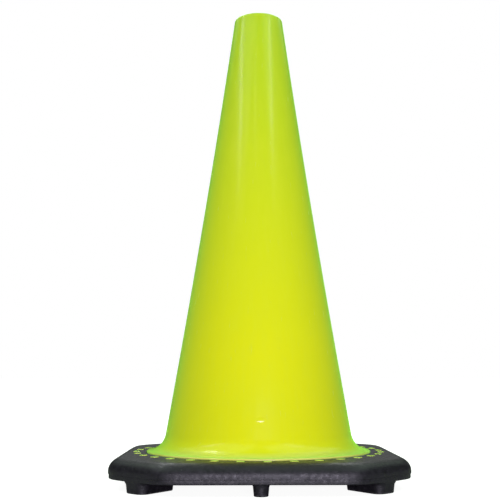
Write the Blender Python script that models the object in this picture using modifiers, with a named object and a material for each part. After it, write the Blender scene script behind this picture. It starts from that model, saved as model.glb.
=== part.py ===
"""Traffic cone: a hollow flexible PVC sleeve locked into a heavy moulded base with eight feet.

Metres, +Z up. The origin is on the cone's axis, on the ground under the feet, and the front is -Y.
The sleeve's flange lies in a cavity of the base, under a thin lip. Pads on the flange stand up
through windows in the lip, and posts of the base run down through slots in the flange, so the two
mouldings can't be pulled apart.
"""

import math

import bmesh
import bpy
from mathutils import Matrix, Vector

# Driving dimensions
CONE_HEIGHT = 0.457
GAP = 0.0003                    # between mouldings that touch

# Sleeve: its outer radius is TOP_RADIUS + TAPER * u + FLARE * u * u, where u runs from 0 at the top
# to 1 at the ground
TOP_RADIUS = 0.0238
TAPER = 0.0631
FLARE = 0.0094
WALL = 0.0026
RIM_ROUND = 0.0030              # outer edge of the top
HOLE_RADIUS = 0.0150            # hole through the top
HOLE_ROUND = 0.0010
ROOF = 0.004                    # thickness of the top around the hole
FOOT_FILLET = 0.0180            # outer fillet from the wall to the flange
FOOT_FILLET_Z = 0.0286          # level that the outer fillet runs out to
INNER_FILLET = 0.021
APRON_RADIUS = 0.1062           # edge of the part of the flange that shows
FLANGE_RADIUS = 0.1222
FLANGE_TOP = 0.0250
FLANGE_BOTTOM = 0.0220

# Base: a square slab with its corners cut off
HALF_WIDTH = 0.1333
SIDE_FLAT = 0.0855              # half the length of a side, out to where a cut corner would meet it
CORNER_ROUND = 0.035            # between a side and a cut corner
BASE_BOTTOM = 0.0098
BASE_TOP = 0.0272
TOP_BEVEL = 0.0115
PARTING_Z = 0.0140              # parting line around the side
SKIRT_STEP = 0.0006             # the side is this much further in below the parting line
HOLLOW_RADIUS = 0.100           # opening through the middle of the slab

# Interlock between sleeve and base
PAD_COUNT = 32
PAD_PHASE = math.radians(2.8)   # from the front centre line to the nearest pad
PAD_INNER = 0.1128
PAD_OUTER = 0.1188
PAD_WIDTH = 0.0066
PAD_TOP = 0.0276
POST_COUNT = 16
POST_INNER = 0.1085
POST_OUTER = 0.1120
POST_WIDTH = 0.0075

# Feet
FOOT_HEIGHT = 0.0095
ROOT_HEIGHT = 0.003             # wider part of a foot, next to the slab
CORNER_FOOT_INNER = 0.1108      # along the diagonal, from the axis
CORNER_FOOT_OUTER = 0.1524
CORNER_FOOT_TIP_WIDTH = 0.010
CORNER_FOOT_WIDTH = 0.026
CORNER_FOOT_ROUND = 0.0070      # at the outer end
CORNER_TIP_ROUND = 0.0030
CORNER_ROOT_SPREAD = 0.0030
CORNER_ROOT_OUTER = 0.1540
SIDE_FOOT_RADIUS = 0.0060
SIDE_ROOT_RADIUS = 0.0074
SIDE_FOOT_DISTANCE = 0.1240     # from the axis
FOOT_EDGE = 0.0008              # rounding under a foot

# Smoothness
TURN_STEPS = 60
FOOT_STEPS = 24
ARC_STEPS = 5

LIME = (0.62, 0.86, 0.02, 1.0)
BLACK = (0.035, 0.033, 0.04, 1.0)


def clear_scene():
    for obj in list(bpy.data.objects):
        bpy.data.objects.remove(obj)


def new_collection(name):
    collection = bpy.data.collections.new(name)
    bpy.context.scene.collection.children.link(collection)
    return collection


def new_material(name, colour, roughness):
    material = bpy.data.materials.new(name)
    material.use_nodes = True
    shader = material.node_tree.nodes["Principled BSDF"]
    shader.inputs["Base Color"].default_value = colour
    shader.inputs["Roughness"].default_value = roughness
    shader.inputs["Metallic"].default_value = 0.0
    return material


def new_object(name, mesh, collection, material=None):
    obj = bpy.data.objects.new(name, mesh)
    collection.objects.link(obj)
    if material:
        mesh.materials.append(material)
    else:
        obj.hide_render = True
        obj.display_type = "WIRE"
    return obj


def arc(centre, radius, start, end, steps=ARC_STEPS):
    """Points of an arc in the r-z plane, with its angles in degrees."""
    points = []
    for i in range(steps + 1):
        angle = math.radians(start + (end - start) * i / steps)
        points.append((centre[0] + radius * math.cos(angle), centre[1] + radius * math.sin(angle)))
    return points


def turned(name, profile, collection, steps, material=None):
    """Solid of revolution about Z. The profile is a loop of (r, z) that runs down its outer side."""
    mesh = bpy.data.meshes.new(name)
    count = len(profile)
    mesh.from_pydata([(r, 0, z) for r, z in profile], [(i, (i + 1) % count) for i in range(count)], [])
    obj = new_object(name, mesh, collection, material)
    screw = obj.modifiers.new("turn", "SCREW")
    screw.axis = "Z"
    screw.steps = steps
    screw.render_steps = steps
    screw.use_merge_vertices = True
    screw.merge_threshold = 0.0001
    screw.use_smooth_shade = True
    return obj


def plate(name, outline, bottom, top, collection, material=None):
    """Flat plate with the given outline, from z = bottom to z = top."""
    curve = bpy.data.curves.new(name, "CURVE")
    curve.dimensions = "2D"
    curve.fill_mode = "BOTH"
    curve.extrude = (top - bottom) / 2
    spline = curve.splines.new("POLY")
    spline.points.add(len(outline) - 1)
    for point, (x, y) in zip(spline.points, outline):
        point.co = (x, y, 0, 1)
    spline.use_cyclic_u = True
    guide = bpy.data.objects.new(name + "_guide", curve)
    collection.objects.link(guide)
    guide.location.z = (top + bottom) / 2
    bpy.context.view_layer.update()
    evaluated = guide.evaluated_get(bpy.context.evaluated_depsgraph_get())
    mesh = bpy.data.meshes.new_from_object(evaluated)
    mesh.transform(guide.matrix_world)
    bpy.data.objects.remove(guide)
    bm = bmesh.new()
    bm.from_mesh(mesh)
    bmesh.ops.remove_doubles(bm, verts=bm.verts, dist=0.00001)
    bmesh.ops.dissolve_limit(bm, angle_limit=0.001, verts=bm.verts, edges=bm.edges)
    bmesh.ops.recalc_face_normals(bm, faces=bm.faces)
    bm.to_mesh(mesh)
    bm.free()
    mesh.name = name
    mesh.materials.clear()
    mesh.shade_smooth()
    mesh.set_sharp_from_angle(angle=math.radians(30))
    return new_object(name, mesh, collection, material)


def ring_of_blocks(name, count, phase, inner, outer, width, bottom, top, collection):
    """Blocks around the axis, one of them at the angle phase from the front towards +X."""
    bm = bmesh.new()
    size = Matrix.Diagonal((outer - inner, width, top - bottom, 1))
    place = Matrix.Translation(((outer + inner) / 2, 0, (top + bottom) / 2))
    for i in range(count):
        angle = phase - math.pi / 2 + math.tau * i / count
        bmesh.ops.create_cube(bm, size=1, matrix=Matrix.Rotation(angle, 4, "Z") @ place @ size)
    mesh = bpy.data.meshes.new(name)
    bm.to_mesh(mesh)
    bm.free()
    return new_object(name, mesh, collection)


def boolean(obj, operation, other):
    modifier = obj.modifiers.new(other.name, "BOOLEAN")
    modifier.operation = operation
    modifier.object = other


def rounded(corners, radii, steps):
    """Closed outline through the corners, given anticlockwise, with each corner rounded by its radius."""
    outline = []
    for i, radius in enumerate(radii):
        corner = Vector(corners[i])
        before = (Vector(corners[i - 1]) - corner).normalized()
        after = (Vector(corners[(i + 1) % len(corners)]) - corner).normalized()
        half = before.angle(after) / 2
        centre = corner + (before + after).normalized() * radius / math.sin(half)
        turn = math.pi - 2 * half
        start = corner + before * radius / math.tan(half) - centre
        for k in range(steps + 1):
            outline.append(tuple(centre + Matrix.Rotation(turn * k / steps, 2) @ start))
    return outline


# Sleeve

def body_radius(z):
    u = (CONE_HEIGHT - z) / CONE_HEIGHT
    return TOP_RADIUS + TAPER * u + FLARE * u * u


def wall_angle(z):
    """Angle in degrees between the outer wall and the vertical."""
    u = (CONE_HEIGHT - z) / CONE_HEIGHT
    return math.degrees(math.atan((TAPER + 2 * FLARE * u) / CONE_HEIGHT))


def wall_points(low, high, offset, steps):
    """Points of the wall from z = low up to z = high, this far inside the outer surface."""
    points = []
    for i in range(steps + 1):
        z = low + (high - low) * i / steps
        points.append((body_radius(z) - offset / math.cos(math.radians(wall_angle(z))), z))
    return points


def wall_fillet(radius, level, offset):
    """Centre and tangent height of the fillet between a wall surface and a level plane below it."""
    z = level + radius
    for _ in range(8):
        slope = math.radians(wall_angle(z))
        z = level + radius - radius * math.sin(slope)
    r = body_radius(z) - offset / math.cos(slope) + radius * math.cos(slope)
    return (r, level + radius), z


def sleeve_underside(gap=0.0):
    """The inner fillet's arc, from the wall out to the flange's underside."""
    centre, tangent_z = wall_fillet(INNER_FILLET, FLANGE_BOTTOM, WALL)
    return arc(centre, INNER_FILLET + gap, 180 + wall_angle(tangent_z), 270)


def sleeve_profile():
    edge = wall_angle(CONE_HEIGHT)
    rim_z = CONE_HEIGHT - RIM_ROUND
    rim_end = rim_z + RIM_ROUND * math.sin(math.radians(edge))
    rim_r = body_radius(rim_end) - RIM_ROUND * math.cos(math.radians(edge))
    centre, tangent_z = wall_fillet(FOOT_FILLET, FOOT_FILLET_Z, 0.0)
    apron = 180 + math.degrees(math.acos((centre[0] - APRON_RADIUS) / FOOT_FILLET))
    roof_z = CONE_HEIGHT - ROOF
    _, inner_z = wall_fillet(INNER_FILLET, FLANGE_BOTTOM, WALL)
    outer = (
        arc((HOLE_RADIUS + HOLE_ROUND, CONE_HEIGHT - HOLE_ROUND), HOLE_ROUND, 180, 90, 3)
        + arc((rim_r, rim_z), RIM_ROUND, 90, edge)
        + wall_points(rim_end, tangent_z, 0.0, 8)[1:-1]
        + arc(centre, FOOT_FILLET, 180 + wall_angle(tangent_z), apron)
        + [(APRON_RADIUS, FLANGE_TOP), (FLANGE_RADIUS, FLANGE_TOP), (FLANGE_RADIUS, FLANGE_BOTTOM)]
    )
    inner = list(reversed(sleeve_underside())) + wall_points(inner_z, roof_z, WALL, 8)[1:]
    return outer + inner + [(HOLE_RADIUS, roof_z)]


def make_sleeve(parts, cutters, material):
    sleeve = turned("cone_sleeve", sleeve_profile(), parts, TURN_STEPS, material)
    inside_flange = (FLANGE_TOP + FLANGE_BOTTOM) / 2
    pads = ring_of_blocks(
        "interlock_pads", PAD_COUNT, PAD_PHASE, PAD_INNER, PAD_OUTER, PAD_WIDTH,
        inside_flange, PAD_TOP, cutters)
    slots = ring_of_blocks(
        "post_slots", POST_COUNT, PAD_PHASE + math.pi / PAD_COUNT, POST_INNER - GAP, POST_OUTER + GAP,
        POST_WIDTH + 2 * GAP, FLANGE_BOTTOM - WALL, FLANGE_TOP + WALL, cutters)
    boolean(sleeve, "UNION", pads)
    boolean(sleeve, "DIFFERENCE", slots)
    return sleeve


# Base

def octagon(half, flat):
    corners = [(half, -flat), (half, flat), (flat, half), (-flat, half)]
    return corners + [(-x, -y) for x, y in corners]


def flange_cavity_profile():
    """The hollow through the slab's middle, with the cavity that the sleeve's flange lies in."""
    underside = [p for p in sleeve_underside(GAP) if p[0] > HOLLOW_RADIUS]
    centre, _ = wall_fillet(INNER_FILLET, FLANGE_BOTTOM, WALL)
    rim_z = centre[1] - math.sqrt((INNER_FILLET + GAP) ** 2 - (centre[0] - HOLLOW_RADIUS) ** 2)
    above = BASE_TOP + 0.01
    below = BASE_BOTTOM - 0.01
    return [
        (0, above),
        (APRON_RADIUS + GAP, above),
        (APRON_RADIUS + GAP, FLANGE_TOP + GAP),
        (FLANGE_RADIUS + GAP, FLANGE_TOP + GAP),
        (FLANGE_RADIUS + GAP, FLANGE_BOTTOM - GAP),
        *reversed(underside),
        (HOLLOW_RADIUS, rim_z),
        (HOLLOW_RADIUS, below),
        (0, below),
    ]


def make_base(parts, cutters, material):
    outline = rounded(octagon(HALF_WIDTH, SIDE_FLAT), [CORNER_ROUND] * 8, 5)
    base = plate("weighted_base", outline, PARTING_Z, BASE_TOP, parts, material)
    bevel = base.modifiers.new("top_bevel", "BEVEL")
    bevel.width = TOP_BEVEL
    bevel.segments = 3
    bevel.limit_method = "VGROUP"
    top_edge = base.vertex_groups.new(name="top_edge")
    top_edge.add([v.index for v in base.data.vertices if v.co.z > BASE_TOP - 0.0001], 1.0, "REPLACE")
    bevel.vertex_group = top_edge.name

    skirt_half = HALF_WIDTH - SKIRT_STEP
    skirt_outline = rounded(octagon(skirt_half, SIDE_FLAT - SKIRT_STEP / 2), [CORNER_ROUND] * 8, 5)
    skirt = plate("skirt", skirt_outline, BASE_BOTTOM, PARTING_Z + 0.003, cutters)
    boolean(base, "UNION", skirt)

    cavity = turned("flange_cavity", flange_cavity_profile(), cutters, TURN_STEPS)
    posts = ring_of_blocks(
        "posts", POST_COUNT, PAD_PHASE + math.pi / PAD_COUNT, POST_INNER, POST_OUTER, POST_WIDTH,
        FLANGE_BOTTOM - WALL, FLANGE_TOP + 2 * GAP, cutters)
    boolean(cavity, "DIFFERENCE", posts)
    windows = ring_of_blocks(
        "pad_windows", PAD_COUNT, PAD_PHASE, PAD_INNER - GAP, PAD_OUTER + GAP, PAD_WIDTH + 2 * GAP,
        (FLANGE_TOP + FLANGE_BOTTOM) / 2, BASE_TOP + 0.01, cutters)
    boolean(base, "DIFFERENCE", cavity)
    boolean(base, "DIFFERENCE", windows)
    return base


# Feet

def wedge_outline(inner, outer, tip_width, width):
    """Plan of a corner foot, which narrows towards the cone's axis. Its length runs along +X."""
    corners = [(inner, -tip_width / 2), (outer, -width / 2), (outer, width / 2), (inner, tip_width / 2)]
    return rounded(corners, [CORNER_TIP_ROUND, CORNER_FOOT_ROUND, CORNER_FOOT_ROUND, CORNER_TIP_ROUND], 4)


def make_corner_foot(name, angle, parts, cutters, material):
    sole = wedge_outline(
        CORNER_FOOT_INNER, CORNER_FOOT_OUTER, CORNER_FOOT_TIP_WIDTH, CORNER_FOOT_WIDTH)
    foot = plate(name, sole, 0.0, FOOT_HEIGHT - ROOT_HEIGHT / 2, parts, material)
    edge = foot.modifiers.new("edge", "BEVEL")
    edge.width = FOOT_EDGE
    edge.segments = 1
    edge.limit_method = "ANGLE"
    edge.angle_limit = math.radians(60)
    wider = wedge_outline(
        CORNER_FOOT_INNER - CORNER_ROOT_SPREAD, CORNER_ROOT_OUTER,
        CORNER_FOOT_TIP_WIDTH + CORNER_ROOT_SPREAD, CORNER_FOOT_WIDTH + 2 * CORNER_ROOT_SPREAD)
    root = plate(name + "_root", wider, FOOT_HEIGHT - ROOT_HEIGHT, FOOT_HEIGHT, cutters)
    boolean(foot, "UNION", root)
    for piece in (foot, root):
        piece.data.transform(Matrix.Rotation(angle, 4, "Z"))
    return foot


def make_side_foot(name, angle, parts, material):
    low = FOOT_HEIGHT - ROOT_HEIGHT
    profile = [
        (0, FOOT_HEIGHT),
        (SIDE_ROOT_RADIUS, FOOT_HEIGHT),
        (SIDE_ROOT_RADIUS, FOOT_HEIGHT - ROOT_HEIGHT / 3),
        (SIDE_FOOT_RADIUS, low),
        (SIDE_FOOT_RADIUS, FOOT_EDGE),
        (SIDE_FOOT_RADIUS - FOOT_EDGE, 0),
        (0, 0),
    ]
    foot = turned(name, profile, parts, FOOT_STEPS, material)
    foot.location = Matrix.Rotation(angle, 3, "Z") @ Vector((SIDE_FOOT_DISTANCE, 0, 0))
    return foot


def make_feet(parts, cutters, material):
    corners = {"front_left": 225, "front_right": 315, "rear_right": 45, "rear_left": 135}
    for where, degrees in corners.items():
        make_corner_foot("corner_foot_" + where, math.radians(degrees), parts, cutters, material)
    sides = {"front": 270, "right": 0, "rear": 90, "left": 180}
    for where, degrees in sides.items():
        make_side_foot("side_foot_" + where, math.radians(degrees), parts, material)


def main():
    clear_scene()
    parts = new_collection("traffic_cone")
    cutters = new_collection("cutters")
    lime = new_material("lime_pvc", LIME, 0.25)
    black = new_material("black_pvc", BLACK, 0.65)
    make_sleeve(parts, cutters, lime)
    make_base(parts, cutters, black)
    make_feet(parts, cutters, black)


main()
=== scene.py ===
"""Looks of the traffic cone: its two detailed mouldings, their vinyls, the studio and the camera.

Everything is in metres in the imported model's frame: the cone's axis is Z, the ground is z = 0 and
the front is -Y.
"""

import math

import bmesh
import bpy
from mathutils import Matrix, Vector


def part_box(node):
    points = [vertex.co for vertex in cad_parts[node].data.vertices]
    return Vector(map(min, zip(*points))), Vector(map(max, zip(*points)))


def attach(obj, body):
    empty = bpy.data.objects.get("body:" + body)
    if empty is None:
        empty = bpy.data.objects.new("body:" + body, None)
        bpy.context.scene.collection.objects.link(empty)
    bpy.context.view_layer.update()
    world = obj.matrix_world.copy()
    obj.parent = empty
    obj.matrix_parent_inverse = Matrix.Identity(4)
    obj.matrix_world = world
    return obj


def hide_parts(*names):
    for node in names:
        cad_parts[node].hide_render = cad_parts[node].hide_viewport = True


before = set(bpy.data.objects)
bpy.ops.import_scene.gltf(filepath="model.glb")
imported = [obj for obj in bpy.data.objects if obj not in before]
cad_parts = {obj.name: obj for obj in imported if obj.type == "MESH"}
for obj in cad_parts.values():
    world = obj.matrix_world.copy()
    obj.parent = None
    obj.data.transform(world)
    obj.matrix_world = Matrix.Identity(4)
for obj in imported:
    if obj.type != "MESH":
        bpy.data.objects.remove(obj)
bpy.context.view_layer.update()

SLEEVE_LOW, SLEEVE_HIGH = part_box("cone_sleeve")
BASE_LOW, BASE_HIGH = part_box("weighted_base")

# Sleeve
CONE_HEIGHT = SLEEVE_HIGH.z
TOP_RADIUS = 0.0238             # the outer radius is TOP_RADIUS + TAPER * u + FLARE * u * u
TAPER = 0.0631
FLARE = 0.0094
WALL = 0.0026
RIM_ROUND = 0.0030              # outer edge of the top
HOLE_RADIUS = 0.0150            # hole through the top
HOLE_ROUND = 0.0010
ROOF = 0.004                    # thickness of the top around the hole
FOOT_FILLET = 0.0180            # outer fillet from the wall to the flange
FOOT_FILLET_Z = 0.0286          # level that the outer fillet runs out to
INNER_FILLET = 0.021
APRON_RADIUS = 0.1062           # edge of the part of the flange that shows
APRON_ROUND = 0.0011
FLANGE_RADIUS = SLEEVE_HIGH.x
FLANGE_TOP = 0.0250
FLANGE_BOTTOM = SLEEVE_LOW.z
NUB_HEIGHT = 0.0600             # of the moulding mark on the front
NUB_SIZE = (0.0078, 0.0044)     # width and height
NUB_RISE = 0.00024
NUB_SINK = 0.001                # how deep its root goes into the wall

# Base
GAP = 0.0003                    # between the two mouldings
HALF_WIDTH = BASE_HIGH.x
CHAMFER_DISTANCE = 0.1547       # from the axis to the middle of a cut corner
OUTLINE_POWER = 38              # higher is a sharper corner between a side and a cut corner
BASE_BOTTOM = BASE_LOW.z
BASE_TOP = BASE_HIGH.z
BEVEL_WIDTH = 0.0115
BEVEL_HEIGHT = 0.0108
BEVEL_LEAD = 0.0006             # flat strip of the top along the bevel
PARTING_Z = 0.0140
PARTING_ROUND = 0.0002          # edge of the side above the parting line
SKIRT_STEP = 0.0006             # the side is this much further in below the parting line
SKIRT_ROUND = 0.0010            # edges under the slab
HOLLOW_RADIUS = 0.100           # opening through the middle of the slab
LIP_ROUND = 0.0004

# Pads of the sleeve and windows of the base
PAD_COUNT = 32
PAD_PHASE = math.radians(2.8)
PAD_INNER = 0.1128
PAD_OUTER = 0.1188
PAD_WIDTH = 0.0066
PAD_TOP = 0.0276
PAD_ROUND = 0.0010              # upright corners
PAD_EDGE = 0.0004               # edge of the top
WINDOW_SINK = 0.0005            # how far a window's cutter goes below the flange's top

# Feet
CORNER_FOOT_INNER = 0.1108
CORNER_FOOT_OUTER = 0.1524
CORNER_FOOT_TIP_WIDTH = 0.010
CORNER_FOOT_WIDTH = 0.026
CORNER_FOOT_ROUND = 0.0070      # at the outer end
CORNER_TIP_ROUND = 0.0030
CORNER_ROOT_OUTER = 0.1540
FOOT_ROOT_HEIGHT = 0.0030       # height of the fillet between a foot and the slab
FOOT_ROOT_SPREAD = 0.0024
FOOT_SINK = 0.001               # how far a foot's mesh goes into the slab
FOOT_DRAFT = 0.10               # how much a foot widens with its height
TIP_SHARE = 0.9                 # share of the growth of a corner foot's plan that its tip gets
ROUND_SHARE = 0.5               # share that its corner radii get
SIDE_FOOT_RADIUS = 0.0060
SIDE_FOOT_DISTANCE = 0.1240
SIDE_ROOT_SPREAD = 0.0010
FOOT_EDGE = 0.0008              # rounding under a foot

# Smoothness
SLEEVE_SEGMENTS = 288
BASE_SEGMENTS = 480
WALL_STEPS = 60
BEVEL_STEPS = 14
NUB_STEPS = 8
SMOOTH_ANGLE = 32               # degrees between faces, above which an edge is sharp

# Colours, in linear light
# The blend from LIME_LOW to LIME_HIGH_SHADED up the sleeve is painted shade: darker and greener
# towards the top, in place of light falling off with height.
LIME_LOW = (0.93, 0.885, 0.010)
LIME_HIGH_SHADED = (0.61, 0.82, 0.028)
LIME_CLOUD = (0.82, 0.85, 0.010)
LIME_PALE = (0.88, 0.90, 0.06)
LIME_SCUFF = (0.62, 0.72, 0.16)
LIME_DUST = (0.86, 0.80, 0.30)
BLACK_DARK = (0.004, 0.003, 0.006)
BLACK_PALE = (0.013, 0.010, 0.018)
BLACK_CLOUD = (0.016, 0.014, 0.020)
BLACK_FLECK = (0.10, 0.09, 0.11)
BLACK_DUST = (0.016, 0.011, 0.015)
LIME_SHEEN_TINT = (0.38, 1.0, 0.12)
BLACK_SPECULAR_TINT = (0.88, 0.81, 1.0)
FLOOR_COLOUR = (0.50, 0.50, 0.50)

# Grain of the noises, per metre, and depths of the bumps
LIME_CLOUD_SCALE = 22
LIME_STREAK_SCALE = 260
LIME_SCUFF_SCALE = 420
LIME_WAVE_SCALE = 60
LIME_SKIN_SCALE = 700
LIME_DRAW = 0.05                # scale along the axis of what is drawn out that way
LIME_WAVE_DEPTH = 0.00007
LIME_SKIN_DEPTH = 0.00002
LIME_STREAK_DEPTH = 0.00001
BLACK_MOTTLE_SCALE = 300
BLACK_CLOUD_SCALE = 24
BLACK_FLECK_SCALE = 620
BLACK_GRAIN_SCALE = 1300
BLACK_MOTTLE_DEPTH = 0.00026
BLACK_GRAIN_DEPTH = 0.00007

# Light
WHITE = (1.0, 1.0, 1.0)
ROOM_COLOUR = (0.92, 1.0, 0.94)
ROOM_STRENGTH = 0.07
FLOOR_RADIUS = 60.0
FLOOR_THICKNESS = 0.02
FLOOR_GLOW = (0.93, 1.0)        # the floor's own brightness near the cone and further out
FLOOR_GLOW_REACH = (0.2, 1.0)   # distances of those two from the cone's axis
BAR_AIM = 0.3                   # height on the axis that the ceiling lights point at
FILL_COLOUR = (0.72, 1.0, 0.70)
REAR_COLOUR = (0.94, 1.0, 0.94)
BARS = (                        # name, place, size, power
    ("left_bar", (-1.2, -0.60, 1.20), (1.15, 0.05), 1.5),
    ("right_bar", (0.86, -0.85, 1.20), (0.9, 0.05), 0.8),
    ("middle_bar", (-0.25, -1.25, 1.20), (0.5, 0.06), 0.22),
    ("high_bar", (-0.62, 0.30, 1.35), (0.34, 0.20), 1.6),
)
SOFTBOXES = (                   # name, turn, elevation, distance, size, power, colour, aim
    ("front_key", 5, 2, 1.3, (0.50, 0.20), 8.0, WHITE, 0.07),
    ("left_fill", -82, 60, 1.6, (2.8, 1.1), 10.8, FILL_COLOUR, 0.2),
    ("rear_fill", 180, 45, 1.8, (1.0, 0.8), 11.0, REAR_COLOUR, 0.2),
    ("right_fill", 82, 60, 1.6, (2.8, 1.1), 12.6, FILL_COLOUR, 0.2),
)

# Camera
CAMERA_DISTANCE = 0.905
CAMERA_HEIGHT = 0.0969
CAMERA_TURN = math.radians(1.0)     # round the cone, towards its left
CAMERA_TILT = math.radians(7.824)   # up
CAMERA_LENS = 66.72
CAMERA_SENSOR = 36
CAMERA_SHIFT = -0.017


# Mesh helpers

def object_from_bmesh(name, bm):
    bmesh.ops.recalc_face_normals(bm, faces=bm.faces)
    mesh = bpy.data.meshes.new(name)
    bm.to_mesh(mesh)
    bm.free()
    obj = bpy.data.objects.new(name, mesh)
    bpy.context.scene.collection.objects.link(obj)
    return obj


def loft(name, rings, closed):
    """Surface through rings of equally many points, which closes on itself or has end caps."""
    bm = bmesh.new()
    loops = [[bm.verts.new(point) for point in ring] for ring in rings]
    pairs = list(zip(loops, loops[1:]))
    if closed:
        pairs.append((loops[-1], loops[0]))
    for lower, upper in pairs:
        for i in range(len(lower)):
            bm.faces.new((lower[i - 1], lower[i], upper[i], upper[i - 1]))
    if not closed:
        bm.faces.new(loops[0])
        bm.faces.new(loops[-1])
    return object_from_bmesh(name, bm)


def join(name, objects):
    bm = bmesh.new()
    for obj in objects:
        bm.from_mesh(obj.data)
        bpy.data.objects.remove(obj)
    return object_from_bmesh(name, bm)


def boolean(obj, operation, other):
    modifier = obj.modifiers.new(operation, "BOOLEAN")
    modifier.operation = operation
    modifier.object = other
    bpy.context.view_layer.update()
    evaluated = obj.evaluated_get(bpy.context.evaluated_depsgraph_get())
    mesh = bpy.data.meshes.new_from_object(evaluated)
    obj.modifiers.clear()
    obj.data = mesh
    bpy.data.objects.remove(other)


def smooth(obj):
    obj.data.shade_smooth()
    obj.data.set_sharp_from_angle(angle=math.radians(SMOOTH_ANGLE))
    weighted = obj.modifiers.new("normals", "WEIGHTED_NORMAL")
    weighted.keep_sharp = True


def circle(radius, z, count):
    return [Vector((radius * math.sin(a), -radius * math.cos(a), z)) for a in turns(count)]


def turns(count):
    return [math.tau * i / count for i in range(count)]


def arc(centre, radius, start, end, steps):
    """Points (r, z) of an arc, with its angles in degrees."""
    points = []
    for i in range(steps + 1):
        angle = math.radians(start + (end - start) * i / steps)
        points.append((centre[0] + radius * math.cos(angle), centre[1] + radius * math.sin(angle)))
    return points


def quarter(steps):
    """Angles of a quarter turn."""
    return [math.pi / 2 * i / steps for i in range(steps + 1)]


# Sleeve

def body_radius(z):
    u = (CONE_HEIGHT - z) / CONE_HEIGHT
    return TOP_RADIUS + TAPER * u + FLARE * u * u


def wall_angle(z):
    """Angle in degrees between the outer wall and the vertical."""
    u = (CONE_HEIGHT - z) / CONE_HEIGHT
    return math.degrees(math.atan((TAPER + 2 * FLARE * u) / CONE_HEIGHT))


def wall_points(start, end, offset):
    """Points (r, z) of the wall from one height to another, this far inside the outer surface."""
    points = []
    for i in range(WALL_STEPS + 1):
        z = start + (end - start) * i / WALL_STEPS
        points.append((body_radius(z) - offset / math.cos(math.radians(wall_angle(z))), z))
    return points


def wall_fillet(radius, level, offset):
    """Centre and tangent height of the fillet between a wall surface and a level plane."""
    z = level + radius
    for _ in range(8):
        slope = math.radians(wall_angle(z))
        z = level + radius - radius * math.sin(slope)
    r = body_radius(z) - offset / math.cos(slope) + radius * math.cos(slope)
    return (r, level + radius), z


def sleeve_profile():
    """Closed loop of points (r, z): out over the top, down the outside, and up the inside."""
    edge = wall_angle(CONE_HEIGHT)
    rim_z = CONE_HEIGHT - RIM_ROUND
    rim_end = rim_z + RIM_ROUND * math.sin(math.radians(edge))
    rim_r = body_radius(rim_end) - RIM_ROUND * math.cos(math.radians(edge))
    centre, tangent_z = wall_fillet(FOOT_FILLET, FOOT_FILLET_Z, 0.0)
    apron = 180 + math.degrees(math.acos((centre[0] - APRON_RADIUS + APRON_ROUND) / FOOT_FILLET))
    foot = arc(centre, FOOT_FILLET, 180 + wall_angle(tangent_z), apron, 20)
    edge_centre = (APRON_RADIUS - APRON_ROUND, foot[-1][1] - APRON_ROUND)
    inner_centre, inner_z = wall_fillet(INNER_FILLET, FLANGE_BOTTOM, WALL)
    roof_z = CONE_HEIGHT - ROOF
    outer = (
        arc((HOLE_RADIUS + HOLE_ROUND, CONE_HEIGHT - HOLE_ROUND), HOLE_ROUND, 180, 90, 5)
        + arc((rim_r, rim_z), RIM_ROUND, 90, edge, 12)
        + wall_points(rim_end, tangent_z, 0.0)[1:-1]
        + foot
        + arc(edge_centre, APRON_ROUND, 80, 0, 4)
        + [(APRON_RADIUS, FLANGE_TOP), (FLANGE_RADIUS, FLANGE_TOP), (FLANGE_RADIUS, FLANGE_BOTTOM)]
    )
    inner = (
        arc(inner_centre, INNER_FILLET, 270, 180 + wall_angle(inner_z), 16)
        + wall_points(inner_z, roof_z, WALL)[1:]
    )
    return outer + inner + [(HOLE_RADIUS, roof_z)]


def rounded_block(inner, outer, width, levels, corner, angle):
    """Rings of a rounded block that points out from the axis. Levels are pairs of growth and z."""
    rings = []
    for growth, z in levels:
        ring = []
        for sx, sy, start in ((1, 1, 0), (-1, 1, 90), (-1, -1, 180), (1, -1, 270)):
            x = (outer + inner) / 2 + sx * ((outer - inner) / 2 - corner)
            y = sy * (width / 2 - corner)
            ring += arc((x, y), corner + growth, start, start + 90, 4)
        turn = Matrix.Rotation(angle - math.pi / 2, 3, "Z")
        rings.append([turn @ Vector((x, y, z)) for x, y in ring])
    return rings


def pad_angles():
    return [PAD_PHASE + a for a in turns(PAD_COUNT)]


def make_nub():
    """Dome that stands on the front of the wall, its rings shrinking to a small flat top."""
    slope = math.radians(wall_angle(NUB_HEIGHT))
    out = Vector((0, -math.cos(slope), math.sin(slope)))
    up = Vector((0, math.sin(slope), math.cos(slope)))
    foot = Vector((0, -body_radius(NUB_HEIGHT), NUB_HEIGHT))
    scales = [i / NUB_STEPS for i in range(NUB_STEPS, 0, -1)]
    shapes = [(1.0, -NUB_SINK)] + [(scale, NUB_RISE * (1 - scale ** 2)) for scale in scales]
    rings = []
    for scale, rise in shapes:
        ring = []
        for a in turns(32):
            across = Vector((NUB_SIZE[0] / 2 * math.sin(a) * scale, 0, 0))
            ring.append(foot + across - up * NUB_SIZE[1] / 2 * math.cos(a) * scale + out * rise)
        rings.append(ring)
    return loft("nub", rings, closed=False)


def make_sleeve():
    rings = [circle(r, z, SLEEVE_SEGMENTS) for r, z in sleeve_profile()]
    sleeve = loft("lime_sleeve", rings, closed=True)
    levels = [
        (0.0, (FLANGE_TOP + FLANGE_BOTTOM) / 2),
        (0.0, PAD_TOP - PAD_EDGE),
        (-0.3 * PAD_EDGE, PAD_TOP - 0.3 * PAD_EDGE),
        (-PAD_EDGE, PAD_TOP),
    ]
    pads = []
    for angle in pad_angles():
        block = rounded_block(PAD_INNER, PAD_OUTER, PAD_WIDTH, levels, PAD_ROUND, angle)
        pads.append(loft("pad", block, closed=False))
    boolean(sleeve, "UNION", join("pads", pads + [make_nub()]))
    smooth(sleeve)
    return sleeve


# Base

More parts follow.
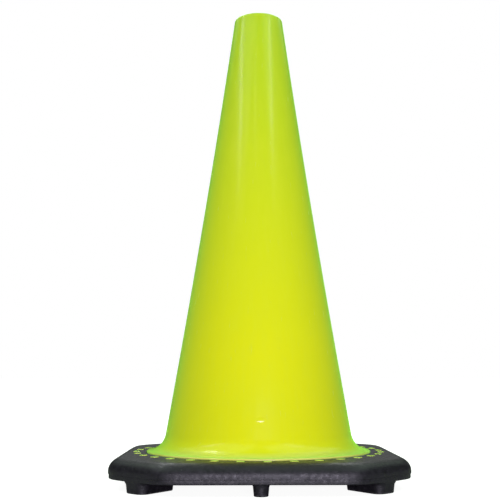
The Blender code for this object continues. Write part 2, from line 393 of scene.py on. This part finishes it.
def octagon(inset, z):
    """Ring of the base's outline, this far inside its sides. A power mean rounds its corners."""
    ring = []
    for a in turns(BASE_SEGMENTS):
        total = 0.0
        for k in range(8):
            facing = math.cos(a - math.tau * k / 8)
            distance = (CHAMFER_DISTANCE if k % 2 else HALF_WIDTH) - inset
            if facing > 0:
                total += (facing / distance) ** OUTLINE_POWER
        radius = total ** (-1 / OUTLINE_POWER)
        ring.append(Vector((radius * math.sin(a), -radius * math.cos(a), z)))
    return ring


def base_rings():
    """Rings of the slab: over the lip, down the side, under it, and up through the hollow."""
    def ring(radius, z):
        return circle(radius, z, BASE_SEGMENTS)

    lip = APRON_RADIUS + GAP
    lip_centre = (lip + LIP_ROUND, BASE_TOP - LIP_ROUND)
    rings = [ring(lip, FLANGE_TOP + GAP)]
    rings += [ring(r, z) for r, z in arc(lip_centre, LIP_ROUND, 180, 90, 3)]
    rings.append(ring(PAD_OUTER + 3 * LIP_ROUND, BASE_TOP))
    rings.append(octagon(BEVEL_WIDTH + BEVEL_LEAD, BASE_TOP))
    for a in quarter(BEVEL_STEPS):
        level = BASE_TOP - BEVEL_HEIGHT * (1 - math.cos(a))
        rings.append(octagon(BEVEL_WIDTH * (1 - math.sin(a)), level))
    side = [
        (0.0, PARTING_Z + 4 * PARTING_ROUND),
        (0.0, PARTING_Z + PARTING_ROUND),
        (PARTING_ROUND, PARTING_Z),
        (SKIRT_STEP, PARTING_Z - 0.5 * PARTING_ROUND),
        (SKIRT_STEP, PARTING_Z - 4 * PARTING_ROUND),
        (SKIRT_STEP, BASE_BOTTOM + SKIRT_ROUND),
        (SKIRT_STEP + 0.3 * SKIRT_ROUND, BASE_BOTTOM + 0.3 * SKIRT_ROUND),
        (SKIRT_STEP + SKIRT_ROUND, BASE_BOTTOM),
    ]
    rings += [octagon(inset, z) for inset, z in side]
    rings.append(ring(HOLLOW_RADIUS + SKIRT_ROUND, BASE_BOTTOM))
    rings.append(ring(HOLLOW_RADIUS, BASE_BOTTOM + SKIRT_ROUND))
    centre, _ = wall_fillet(INNER_FILLET, FLANGE_BOTTOM, WALL)
    reach = INNER_FILLET + GAP
    start = 180 + math.degrees(math.acos((centre[0] - HOLLOW_RADIUS) / reach))
    rings += [ring(r, z) for r, z in arc(centre, reach, start, 270, 6)]
    rings.append(ring(FLANGE_RADIUS + GAP, FLANGE_BOTTOM - GAP))
    rings.append(ring(FLANGE_RADIUS + GAP, FLANGE_TOP + GAP))
    return rings


def wedge_outline(growth):
    """Plan of a corner foot, grown by this much. Its length runs along +X."""
    inner = CORNER_FOOT_INNER - growth
    outer = min(CORNER_FOOT_OUTER + growth, CORNER_ROOT_OUTER)
    half_tip = CORNER_FOOT_TIP_WIDTH / 2 + growth * TIP_SHARE
    half_end = CORNER_FOOT_WIDTH / 2 + growth
    corners = [(inner, -half_tip), (outer, -half_end), (outer, half_end), (inner, half_tip)]
    radii = [CORNER_TIP_ROUND, CORNER_FOOT_ROUND, CORNER_FOOT_ROUND, CORNER_TIP_ROUND]
    outline = []
    for i, corner in enumerate(corners):
        corner = Vector(corner)
        radius = radii[i] + growth * ROUND_SHARE
        before = (Vector(corners[i - 1]) - corner).normalized()
        after = (Vector(corners[(i + 1) % 4]) - corner).normalized()
        half = before.angle(after) / 2
        centre = corner + (before + after).normalized() * radius / math.sin(half)
        start = corner + before * radius / math.tan(half) - centre
        turn = math.pi - 2 * half
        for k in range(9):
            outline.append(centre + Matrix.Rotation(turn * k / 8, 2) @ start)
    return outline


def foot_levels(spread):
    """Growth of a foot's plan against z: a rounded edge below and a fillet into the slab above."""
    levels = [(FOOT_EDGE * (math.sin(a) - 1), FOOT_EDGE * (1 - math.cos(a))) for a in quarter(4)]
    for a in quarter(6):
        z = BASE_BOTTOM - FOOT_ROOT_HEIGHT + FOOT_ROOT_HEIGHT * math.sin(a)
        levels.append((spread * (1 - math.cos(a)), z))
    levels.append((spread, BASE_BOTTOM + FOOT_SINK))
    return [(growth + FOOT_DRAFT * z, z) for growth, z in levels]


def make_corner_foot(angle):
    turn = Matrix.Rotation(angle, 3, "Z")
    rings = []
    for growth, z in foot_levels(FOOT_ROOT_SPREAD):
        rings.append([turn @ Vector((x, y, z)) for x, y in wedge_outline(growth)])
    return loft("corner_foot", rings, closed=False)


def make_side_foot(angle):
    place = Matrix.Rotation(angle, 3, "Z") @ Vector((SIDE_FOOT_DISTANCE, 0, 0))
    rings = []
    for growth, z in foot_levels(SIDE_ROOT_SPREAD):
        rings.append([place + point for point in circle(SIDE_FOOT_RADIUS + growth, z, 48)])
    return loft("side_foot", rings, closed=False)


def make_base():
    base = loft("black_base", base_rings(), closed=True)
    feet = [make_corner_foot(math.radians(45 + 90 * i)) for i in range(4)]
    feet += [make_side_foot(math.radians(90 * i)) for i in range(4)]
    boolean(base, "UNION", join("feet", feet))
    levels = [
        (GAP, FLANGE_TOP - WINDOW_SINK),
        (GAP, BASE_TOP - LIP_ROUND),
        (GAP + LIP_ROUND, BASE_TOP),
        (GAP + 3 * LIP_ROUND, BASE_TOP + 2 * LIP_ROUND),
    ]
    windows = []
    for angle in pad_angles():
        block = rounded_block(PAD_INNER, PAD_OUTER, PAD_WIDTH, levels, PAD_ROUND, angle)
        windows.append(loft("window", block, closed=False))
    boolean(base, "DIFFERENCE", join("windows", windows))
    smooth(base)
    return base


# Material nodes

def add_node(tree, kind, inputs, **settings):
    """New shader node. Its inputs are set to a value, or linked to the socket given for them."""
    node = tree.nodes.new("ShaderNode" + kind)
    for name, value in settings.items():
        setattr(node, name, value)
    for name, value in inputs.items():
        if isinstance(value, bpy.types.NodeSocket):
            tree.links.new(value, node.inputs[name])
        else:
            node.inputs[name].default_value = value
    return node


def stretched(tree, scale):
    """Object coordinates, in metres, scaled along each axis."""
    coordinates = add_node(tree, "TexCoord", {}).outputs["Object"]
    return add_node(tree, "Mapping", {"Vector": coordinates, "Scale": scale}).outputs["Vector"]


def noise(tree, vector, scale, detail):
    inputs = {"Vector": vector, "Scale": scale, "Detail": detail}
    return add_node(tree, "TexNoise", inputs).outputs["Fac"]


def remap(tree, value, start, end, low, high):
    """Value that runs from low to high as the given one runs from start to end."""
    inputs = {"Value": value, "From Min": start, "From Max": end, "To Min": low, "To Max": high}
    return add_node(tree, "MapRange", inputs).outputs["Result"]


def multiply(tree, first, second):
    return add_node(tree, "Math", {0: first, 1: second}, operation="MULTIPLY").outputs[0]


def blend(tree, amount, first, second):
    """Colour between two colours, which are sockets or red, green and blue."""
    ends = [c if isinstance(c, bpy.types.NodeSocket) else (*c, 1.0) for c in (first, second)]
    inputs = {0: amount, 6: ends[0], 7: ends[1]}
    return add_node(tree, "Mix", inputs, data_type="RGBA").outputs[2]


def bump(tree, height, depth, under=None):
    """Normal that is raised by up to this depth, in metres, over the normal under it."""
    inputs = {"Height": height, "Distance": depth, "Strength": 1.0}
    if under:
        inputs["Normal"] = under
    return add_node(tree, "Bump", inputs).outputs["Normal"]


def start_material(name):
    material = bpy.data.materials.new(name)
    material.use_nodes = True
    return material, material.node_tree, material.node_tree.nodes["Principled BSDF"]


def lime_vinyl():
    """Glossy fluorescent vinyl: clouded, with an orange-peel skin, scuffs, dust at the foot and
    painted shade that makes it darker and greener towards the top.
    """
    material, tree, shader = start_material("lime_vinyl")
    plain = stretched(tree, (1, 1, 1))
    drawn = stretched(tree, (1, 1, LIME_DRAW))
    height = add_node(tree, "SeparateXYZ", {"Vector": plain}).outputs["Z"]
    clouds = noise(tree, plain, LIME_CLOUD_SCALE, 4)
    streaks = noise(tree, drawn, LIME_STREAK_SCALE, 3)
    scuffs = remap(tree, noise(tree, drawn, LIME_SCUFF_SCALE, 5), 0.64, 0.72, 0, 1)
    skin = noise(tree, plain, LIME_SKIN_SCALE, 2)
    waves = noise(tree, plain, LIME_WAVE_SCALE, 1)

    # Painted shade: the colour runs darker and greener from 0.12 m up to the top, standing in for
    # the light falling off with height.
    colour = blend(tree, remap(tree, height, 0.12, CONE_HEIGHT, 0, 1), LIME_LOW, LIME_HIGH_SHADED)
    colour = blend(tree, remap(tree, clouds, 0.3, 0.7, 0, 0.22), colour, LIME_CLOUD)
    colour = blend(tree, remap(tree, streaks, 0.4, 0.7, 0, 0.12), colour, LIME_PALE)
    colour = blend(tree, multiply(tree, scuffs, 0.10), colour, LIME_SCUFF)
    low = remap(tree, height, 0.028, 0.033, 0.7, 0)
    dust = multiply(tree, low, remap(tree, clouds, 0.35, 0.6, 0.7, 1))
    colour = blend(tree, dust, colour, LIME_DUST)
    tree.links.new(colour, shader.inputs["Base Color"])

    roughness = remap(tree, clouds, 0.3, 0.7, 0.14, 0.22)
    roughness = add_node(tree, "Math", {0: roughness, 1: multiply(tree, scuffs, 0.12)}).outputs[0]
    tree.links.new(roughness, shader.inputs["Roughness"])
    normal = bump(tree, waves, LIME_WAVE_DEPTH)
    normal = bump(tree, skin, LIME_SKIN_DEPTH, normal)
    normal = bump(tree, streaks, LIME_STREAK_DEPTH, normal)
    tree.links.new(normal, shader.inputs["Normal"])
    shader.inputs["Specular IOR Level"].default_value = 0.35
    shader.inputs["Sheen Weight"].default_value = 1.0
    shader.inputs["Sheen Roughness"].default_value = 0.45
    shader.inputs["Sheen Tint"].default_value = (*LIME_SHEEN_TINT, 1.0)
    return material


def black_vinyl():
    """Recycled vinyl: mottled purple-grey, with pale flecks, grain, dust and scuffed feet."""
    material, tree, shader = start_material("black_vinyl")
    plain = stretched(tree, (1, 1, 1))
    height = add_node(tree, "SeparateXYZ", {"Vector": plain}).outputs["Z"]
    facing = add_node(tree, "NewGeometry", {}).outputs["Normal"]
    upward = add_node(tree, "SeparateXYZ", {"Vector": facing}).outputs["Z"]
    mottle = noise(tree, plain, BLACK_MOTTLE_SCALE, 4)
    clouds = noise(tree, plain, BLACK_CLOUD_SCALE, 3)
    flecks = remap(tree, noise(tree, plain, BLACK_FLECK_SCALE, 3), 0.66, 0.74, 0, 1)
    grain = noise(tree, plain, BLACK_GRAIN_SCALE, 3)

    colour = blend(tree, remap(tree, mottle, 0.35, 0.65, 0, 1), BLACK_DARK, BLACK_PALE)
    colour = blend(tree, remap(tree, clouds, 0.4, 0.7, 0, 0.5), colour, BLACK_CLOUD)
    colour = blend(tree, multiply(tree, flecks, 0.5), colour, BLACK_FLECK)
    flat = remap(tree, upward, 0.5, 1.0, 0, 0.7)
    dust = multiply(tree, flat, remap(tree, clouds, 0.35, 0.65, 0.2, 1))
    colour = blend(tree, dust, colour, BLACK_DUST)
    low = remap(tree, height, 0.0004, 0.0020, 0.6, 0)
    scuffs = multiply(tree, low, remap(tree, mottle, 0.4, 0.6, 0, 1))
    colour = blend(tree, scuffs, colour, BLACK_FLECK)
    tree.links.new(colour, shader.inputs["Base Color"])

    tree.links.new(remap(tree, mottle, 0.3, 0.7, 0.36, 0.58), shader.inputs["Roughness"])
    normal = bump(tree, mottle, BLACK_MOTTLE_DEPTH)
    normal = bump(tree, grain, BLACK_GRAIN_DEPTH, normal)
    tree.links.new(normal, shader.inputs["Normal"])
    shader.inputs["Specular IOR Level"].default_value = 0.56
    shader.inputs["Specular Tint"].default_value = (*BLACK_SPECULAR_TINT, 1.0)
    return material


# Studio

def make_floor():
    """Pale table. To the camera it is lit from below as well, so that the feet stand out on it."""
    rings = [circle(FLOOR_RADIUS, z, 96) for z in (0.0, -FLOOR_THICKNESS)]
    floor = loft("floor", rings, closed=False)
    material, tree, shader = start_material("pale_floor")
    seen = add_node(tree, "LightPath", {}).outputs["Is Camera Ray"]
    distance = add_node(tree, "VectorMath", {0: stretched(tree, (1, 1, 1))}, operation="LENGTH")
    glow = remap(tree, distance.outputs["Value"], *FLOOR_GLOW_REACH, *FLOOR_GLOW)
    tree.links.new(multiply(tree, seen, glow), shader.inputs["Emission Strength"])
    shader.inputs["Emission Color"].default_value = (*WHITE, 1.0)
    shader.inputs["Base Color"].default_value = (*FLOOR_COLOUR, 1.0)
    shader.inputs["Roughness"].default_value = 0.9
    shader.inputs["Specular IOR Level"].default_value = 0.1
    floor.data.materials.append(material)


def area_light(name, size, power, colour, place, turn):
    light = bpy.data.lights.new(name, "AREA")
    light.shape = "RECTANGLE"
    light.size, light.size_y = size
    light.energy = power
    light.color = colour
    lamp = bpy.data.objects.new(name, light)
    lamp.location = place
    lamp.rotation_mode = "QUATERNION"
    lamp.rotation_quaternion = turn
    lamp.visible_camera = False
    bpy.context.scene.collection.objects.link(lamp)


def softbox(name, turn, elevation, distance, size, power, colour, aim):
    """Light aimed at a height on the axis, turned from the front towards the right."""
    a = math.radians(turn)
    e = math.radians(elevation)
    away = Vector((math.sin(a) * math.cos(e), -math.cos(a) * math.cos(e), math.sin(e)))
    place = Vector((0, 0, aim)) + away * distance
    area_light(name, size, power, colour, place, away.to_track_quat("Z", "Y"))


def bar(name, place, size, power):
    """Ceiling light that runs from front to back, turned about that line towards the cone."""
    along = Vector((0, 1, 0))
    away = Vector((place[0], 0, place[2] - BAR_AIM)).normalized()
    turn = Matrix((along, away.cross(along), away)).transposed().to_quaternion()
    area_light(name, size, power, WHITE, place, turn)


def make_world():
    """White to the camera, dim to everything that it lights."""
    world = bpy.data.worlds.new("studio")
    bpy.context.scene.world = world
    world.use_nodes = True
    tree = world.node_tree
    seen = add_node(tree, "LightPath", {}).outputs["Is Camera Ray"]
    dim = add_node(tree, "Background", {"Color": (*ROOM_COLOUR, 1.0), "Strength": ROOM_STRENGTH})
    white = add_node(tree, "Background", {"Color": (*WHITE, 1.0), "Strength": 1.0})
    mixed = add_node(tree, "MixShader", {0: seen, 1: dim.outputs[0], 2: white.outputs[0]})
    tree.links.new(mixed.outputs[0], tree.nodes["World Output"].inputs["Surface"])


def make_lights():
    for settings in BARS:
        bar(*settings)
    for settings in SOFTBOXES:
        softbox(*settings)


def make_camera():
    data = bpy.data.cameras.new("camera")
    data.lens = CAMERA_LENS
    data.sensor_width = CAMERA_SENSOR
    data.shift_x = CAMERA_SHIFT
    camera = bpy.data.objects.new("camera", data)
    x = -CAMERA_DISTANCE * math.sin(CAMERA_TURN)
    y = -CAMERA_DISTANCE * math.cos(CAMERA_TURN)
    camera.location = (x, y, CAMERA_HEIGHT)
    camera.rotation_euler = (math.pi / 2 + CAMERA_TILT, 0, -CAMERA_TURN)
    bpy.context.scene.collection.objects.link(camera)
    bpy.context.scene.camera = camera


def dress(piece, material, slot, *nodes):
    """Give a piece its material, let it ride on the root and stand for nodes. The slot is not used.
    """
    piece.data.materials.clear()
    piece.data.materials.append(material)
    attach(piece, "root")
    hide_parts(*nodes)


def main():
    bpy.context.scene.view_settings.view_transform = "Standard"
    dress(make_sleeve(), lime_vinyl(), "lime_pvc", "cone_sleeve")
    feet = [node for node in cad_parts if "foot" in node]
    dress(make_base(), black_vinyl(), "black_pvc", "weighted_base", *feet)
    make_floor()
    make_world()
    make_lights()
    make_camera()


main()
